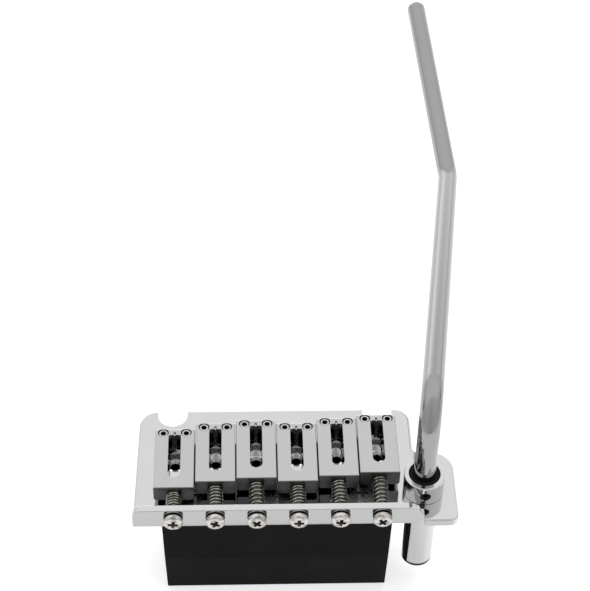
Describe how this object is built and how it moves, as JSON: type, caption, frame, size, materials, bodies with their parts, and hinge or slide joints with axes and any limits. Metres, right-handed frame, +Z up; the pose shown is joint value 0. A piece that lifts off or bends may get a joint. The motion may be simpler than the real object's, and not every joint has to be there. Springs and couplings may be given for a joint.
{
  "type": "guitar tremolo bridge",
  "caption": "Chromed two-point guitar tremolo bridge: notched base plate with block saddles on sprung screws, a black block below and a bent arm that swivels in a collar.",
  "frame": {"origin": "midway between the centres of the two pivot notches, level with the plate's top face", "axes": "+X towards the treble side, +Y towards the neck, +Z up out of the guitar's top"},
  "size_m": [0.0944, 0.1967, 0.0689],
  "materials": {
    "chrome": "polished chrome plating",
    "nickel": "bright nickel plating",
    "spring_steel": "drawn spring wire",
    "dark_steel": "blackened steel",
    "black_paint": "satin black paint",
    "black_plastic": "moulded plastic"
  },
  "bodies": {
    "frame": {"base_plate": "chrome", "sustain_block": "black_paint", "block_screw_1": "dark_steel", "block_screw_2": "dark_steel", "block_screw_3": "dark_steel", "arm_socket": "chrome", "arm_bush": "black_plastic"},
    "arm": {"tremolo_arm": "chrome"},
    "tension_screw": {"arm_tension_screw": "dark_steel"},
    "spring_1": {"intonation_spring_1": "spring_steel"},
    "screw_1": {"intonation_screw_1": "nickel"},
    "saddle_1": {"saddle_1": "chrome"},
    "feet_1": {"height_screw_1_bass": "dark_steel", "height_screw_1_treble": "dark_steel"},
    "spring_2": {"intonation_spring_2": "spring_steel"},
    "screw_2": {"intonation_screw_2": "nickel"},
    "saddle_2": {"saddle_2": "chrome"},
    "feet_2": {"height_screw_2_bass": "dark_steel", "height_screw_2_treble": "dark_steel"},
    "spring_3": {"intonation_spring_3": "spring_steel"},
    "screw_3": {"intonation_screw_3": "nickel"},
    "saddle_3": {"saddle_3": "chrome"},
    "feet_3": {"height_screw_3_bass": "dark_steel", "height_screw_3_treble": "dark_steel"},
    "spring_4": {"intonation_spring_4": "spring_steel"},
    "screw_4": {"intonation_screw_4": "nickel"},
    "saddle_4": {"saddle_4": "chrome"},
    "feet_4": {"height_screw_4_bass": "dark_steel", "height_screw_4_treble": "dark_steel"},
    "spring_5": {"intonation_spring_5": "spring_steel"},
    "screw_5": {"intonation_screw_5": "nickel"},
    "saddle_5": {"saddle_5": "chrome"},
    "feet_5": {"height_screw_5_bass": "dark_steel", "height_screw_5_treble": "dark_steel"},
    "spring_6": {"intonation_spring_6": "spring_steel"},
    "screw_6": {"intonation_screw_6": "nickel"},
    "saddle_6": {"saddle_6": "chrome"},
    "feet_6": {"height_screw_6_bass": "dark_steel", "height_screw_6_treble": "dark_steel"}
  },
  "joints": [
    {"name": "arm_swivel", "type": "hinge", "parent": "frame", "child": "arm", "pos_m": [0.0386, -0.02655, 0], "axis": [0, 0, 1], "continuous": true},
    {"name": "tension_screw_turn", "type": "hinge", "parent": "frame", "child": "tension_screw", "pos_m": [0.0386, -0.03155, 0.0032], "axis": [0, -1, 0], "range_deg": [-180, 180]},
    {"name": "saddle_1_tilt", "type": "hinge", "parent": "frame", "child": "spring_1", "pos_m": [-0.027, -0.03585, 0.0032], "axis": [1, 0, 0], "range_deg": [-1.5, 2.5]},
    {"name": "intonation_1_turn", "type": "hinge", "parent": "spring_1", "child": "screw_1", "pos_m": [-0.027, -0.03585, 0.0032], "axis": [0, 1, 0], "range_deg": [-2017, 1153]},
    {"name": "saddle_1_slide", "type": "slide", "parent": "spring_1", "child": "saddle_1", "axis": [0, 1, 0], "range_m": [-0.0016, 0.0028], "deforming": ["intonation_spring_1"]},
    {"name": "height_1_slide", "type": "slide", "parent": "saddle_1", "child": "feet_1", "axis": [0, 0, 1], "range_m": [-0.00102, 0.00062]},
    {"name": "saddle_2_tilt", "type": "hinge", "parent": "frame", "child": "spring_2", "pos_m": [-0.0162, -0.03585, 0.0032], "axis": [1, 0, 0], "range_deg": [-1.5, 2.5]},
    {"name": "intonation_2_turn", "type": "hinge", "parent": "spring_2", "child": "screw_2", "pos_m": [-0.0162, -0.03585, 0.0032], "axis": [0, 1, 0], "range_deg": [-2017, 2161]},
    {"name": "saddle_2_slide", "type": "slide", "parent": "spring_2", "child": "saddle_2", "axis": [0, 1, 0], "range_m": [-0.003, 0.0028], "deforming": ["intonation_spring_2"]},
    {"name": "height_2_slide", "type": "slide", "parent": "saddle_2", "child": "feet_2", "axis": [0, 0, 1], "range_m": [-0.0011, 0.00067]},
    {"name": "saddle_3_tilt", "type": "hinge", "parent": "frame", "child": "spring_3", "pos_m": [-0.0054, -0.03585, 0.0032], "axis": [1, 0, 0], "range_deg": [-1.5, 2.5]},
    {"name": "intonation_3_turn", "type": "hinge", "parent": "spring_3", "child": "screw_3", "pos_m": [-0.0054, -0.03585, 0.0032], "axis": [0, 1, 0], "range_deg": [-2017, 2881]},
    {"name": "saddle_3_slide", "type": "slide", "parent": "spring_3", "child": "saddle_3", "axis": [0, 1, 0], "range_m": [-0.004, 0.0028], "deforming": ["intonation_spring_3"]},
    {"name": "height_3_slide", "type": "slide", "parent": "saddle_3", "child": "feet_3", "axis": [0, 0, 1], "range_m": [-0.00115, 0.00069]},
    {"name": "saddle_4_tilt", "type": "hinge", "parent": "frame", "child": "spring_4", "pos_m": [0.0054, -0.03585, 0.0032], "axis": [1, 0, 0], "range_deg": [-1.5, 2.5]},
    {"name": "intonation_4_turn", "type": "hinge", "parent": "spring_4", "child": "screw_4", "pos_m": [0.0054, -0.03585, 0.0032], "axis": [0, 1, 0], "range_deg": [-2017, 2017]},
    {"name": "saddle_4_slide", "type": "slide", "parent": "spring_4", "child": "saddle_4", "axis": [0, 1, 0], "range_m": [-0.0028, 0.0028], "deforming": ["intonation_spring_4"]},
    {"name": "height_4_slide", "type": "slide", "parent": "saddle_4", "child": "feet_4", "axis": [0, 0, 1], "range_m": [-0.00109, 0.00066]},
    {"name": "saddle_5_tilt", "type": "hinge", "parent": "frame", "child": "spring_5", "pos_m": [0.0162, -0.03585, 0.0032], "axis": [1, 0, 0], "range_deg": [-1.5, 2.5]},
    {"name": "intonation_5_turn", "type": "hinge", "parent": "spring_5", "child": "screw_5", "pos_m": [0.0162, -0.03585, 0.0032], "axis": [0, 1, 0], "range_deg": [-2017, 2881]},
    {"name": "saddle_5_slide", "type": "slide", "parent": "spring_5", "child": "saddle_5", "axis": [0, 1, 0], "range_m": [-0.004, 0.0028], "deforming": ["intonation_spring_5"]},
    {"name": "height_5_slide", "type": "slide", "parent": "saddle_5", "child": "feet_5", "axis": [0, 0, 1], "range_m": [-0.00116, 0.0007]},
    {"name": "saddle_6_tilt", "type": "hinge", "parent": "frame", "child": "spring_6", "pos_m": [0.027, -0.03585, 0.0032], "axis": [1, 0, 0], "range_deg": [-1.5, 2.5]},
    {"name": "intonation_6_turn", "type": "hinge", "parent": "spring_6", "child": "screw_6", "pos_m": [0.027, -0.03585, 0.0032], "axis": [0, 1, 0], "range_deg": [-1297, 3601]},
    {"name": "saddle_6_slide", "type": "slide", "parent": "spring_6", "child": "saddle_6", "axis": [0, 1, 0], "range_m": [-0.005, 0.0018], "deforming": ["intonation_spring_6"]},
    {"name": "height_6_slide", "type": "slide", "parent": "saddle_6", "child": "feet_6", "axis": [0, 0, 1], "range_m": [-0.00121, 0.00073]}
  ],
  "couplings": [
    {"joint": "intonation_1_turn", "follows": "saddle_1_slide", "rad_per_m": -12566},
    {"joint": "height_1_slide", "follows": "saddle_1_tilt", "m_per_rad": -0.02315},
    {"joint": "intonation_2_turn", "follows": "saddle_2_slide", "rad_per_m": -12566},
    {"joint": "height_2_slide", "follows": "saddle_2_tilt", "m_per_rad": -0.02505},
    {"joint": "intonation_3_turn", "follows": "saddle_3_slide", "rad_per_m": -12566},
    {"joint": "height_3_slide", "follows": "saddle_3_tilt", "m_per_rad": -0.02605},
    {"joint": "intonation_4_turn", "follows": "saddle_4_slide", "rad_per_m": -12566},
    {"joint": "height_4_slide", "follows": "saddle_4_tilt", "m_per_rad": -0.02485},
    {"joint": "intonation_5_turn", "follows": "saddle_5_slide", "rad_per_m": -12566},
    {"joint": "height_5_slide", "follows": "saddle_5_tilt", "m_per_rad": -0.02645},
    {"joint": "intonation_6_turn", "follows": "saddle_6_slide", "rad_per_m": -12566},
    {"joint": "height_6_slide", "follows": "saddle_6_tilt", "m_per_rad": -0.02745}
  ]
}
